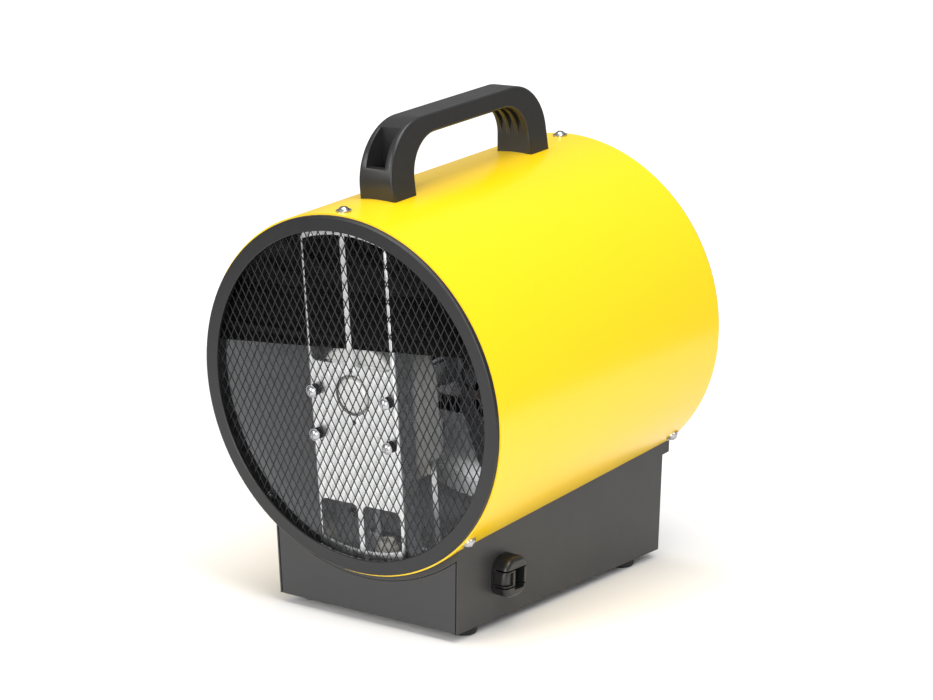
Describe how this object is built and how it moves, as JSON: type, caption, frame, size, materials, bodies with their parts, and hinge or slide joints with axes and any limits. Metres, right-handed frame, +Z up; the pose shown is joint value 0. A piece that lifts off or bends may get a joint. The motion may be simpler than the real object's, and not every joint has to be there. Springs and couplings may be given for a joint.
{
  "type": "ceramic fan heater",
  "caption": "Portable drum fan heater: tilted round duct on a folded base, mesh ends, paddle fan, ceramic element, carry handle, two rear knobs and a cord gland.",
  "frame": {"origin": "on the floor under the middle of the bounding box; the feet stand on Z = 0", "axes": "+Z up; the air intake faces -Y and the outlet faces +Y, tipped 5.1 degrees up; +X is the cord gland side"},
  "size_m": [0.22, 0.2598, 0.3092],
  "materials": {
    "drum_paint": "satin powder coat",
    "base_paint": "fine-texture powder coat",
    "ring_plastic": "moulded satin",
    "mesh_paint": "satin black",
    "handle_plastic": "moulded satin",
    "knob_plastic": "moulded satin",
    "zinc": "bright zinc plate",
    "galvanised": "galvanised sheet",
    "lamination": "stamped silicon steel",
    "shaft_steel": "ground steel",
    "bronze": "sintered bronze",
    "winding": "enamelled copper wire",
    "nylon": "natural nylon",
    "aluminium": "pressed sheet",
    "ceramic": "fired ceramic",
    "heat_plastic": "heat-proof moulding",
    "tab_brass": "tinned brass",
    "lamp_lens": "clear tinted",
    "foot_rubber": "moulded",
    "grommet_rubber": "moulded"
  },
  "bodies": {
    "body": {"drum_tube": "drum_paint", "base_shell": "base_paint", "intake_panel": "base_paint", "outlet_panel": "base_paint", "bottom_plate": "base_paint", "intake_ring": "ring_plastic", "outlet_ring": "ring_plastic", "intake_mesh": "mesh_paint", "outlet_mesh": "mesh_paint", "handle": "handle_plastic", "gland_body": "knob_plastic", "gland_wedge": "knob_plastic", "gland_nut": "knob_plastic", "tube_screws": "zinc", "tube_nuts": "zinc", "motor_bolts": "zinc", "motor_nuts": "zinc", "element_screws": "zinc", "saddle_screws": "zinc", "saddle_nuts": "zinc", "handle_screws": "zinc", "handle_nuts": "zinc", "base_screws": "zinc", "foot_screws": "zinc", "foot_nuts": "zinc", "terminal_screws": "zinc", "control_nuts": "zinc", "shield_rivets": "zinc", "motor_bracket": "galvanised", "motor_strap": "galvanised", "motor_shield_front": "galvanised", "motor_shield_rear": "galvanised", "element_plate": "galvanised", "shield_spacers": "galvanised", "stator_stack": "lamination", "motor_bearings": "bronze", "stator_coil": "winding", "coil_bobbin": "nylon", "wire_bush": "nylon", "terminal_block": "nylon", "fin_packs": "aluminium", "heat_shield": "aluminium", "ceramic_bars": "ceramic", "element_frame": "heat_plastic", "thermal_cutout": "heat_plastic", "mode_switch": "heat_plastic", "room_thermostat": "heat_plastic", "element_tabs": "tab_brass", "indicator_lamp": "lamp_lens", "feet": "foot_rubber", "motor_grommets": "grommet_rubber"},
    "fan": {"motor_shaft": "shaft_steel", "rotor": "lamination", "fan_hub": "aluminium", "fan_impeller": "aluminium", "fan_nut": "zinc"},
    "mode_control": {"mode_knob": "knob_plastic", "mode_spindle": "shaft_steel"},
    "heat_control": {"thermostat_knob": "knob_plastic", "thermostat_spindle": "shaft_steel"}
  },
  "joints": [
    {"name": "fan_spin", "type": "hinge", "parent": "body", "child": "fan", "pos_m": [0, -0.02233, 0.15022], "axis": [0, 0.996, 0.0889], "continuous": true},
    {"name": "mode_turn", "type": "hinge", "parent": "body", "child": "mode_control", "pos_m": [-0.036, 0.11269, 0.029], "axis": [0, -1, 0], "range_deg": [0, 135]},
    {"name": "heat_turn", "type": "hinge", "parent": "body", "child": "heat_control", "pos_m": [0.036, 0.11269, 0.029], "axis": [0, -1, 0], "range_deg": [0, 270]}
  ]
}
